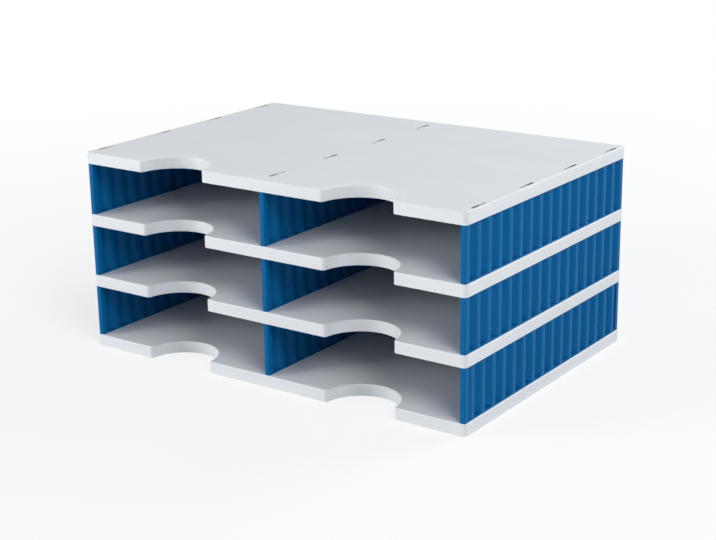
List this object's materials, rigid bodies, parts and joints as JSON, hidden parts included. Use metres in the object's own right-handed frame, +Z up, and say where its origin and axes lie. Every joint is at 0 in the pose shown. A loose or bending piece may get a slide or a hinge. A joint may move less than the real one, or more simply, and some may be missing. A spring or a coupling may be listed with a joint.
{
  "type": "document sorting station",
  "caption": "Open-fronted desk sorting station: flat shelves on ribbed upright walls form wide document compartments with finger cutouts at the front and closed backs.",
  "frame": {"origin": "on the surface that the station stands on, under the middle of its overall box", "axes": "+Z up, +X along the width to the right as seen from the open front, -Y towards the open front"},
  "size_m": [0.485, 0.331, 0.223],
  "materials": {
    "shelf_plastic": "satin moulded",
    "wall_plastic": "satin moulded"
  },
  "bodies": {
    "root": {"bottom_plate": "shelf_plastic", "lower_shelf": "shelf_plastic", "upper_shelf": "shelf_plastic", "top_plate": "shelf_plastic", "left_wall_lower": "wall_plastic", "centre_wall_lower": "wall_plastic", "right_wall_lower": "wall_plastic", "left_wall_middle": "wall_plastic", "centre_wall_middle": "wall_plastic", "right_wall_middle": "wall_plastic", "left_wall_upper": "wall_plastic", "centre_wall_upper": "wall_plastic", "right_wall_upper": "wall_plastic", "left_back_lower": "wall_plastic", "right_back_lower": "wall_plastic", "left_back_middle": "wall_plastic", "right_back_middle": "wall_plastic", "left_back_upper": "wall_plastic", "right_back_upper": "wall_plastic"}
  },
  "joints": []
}
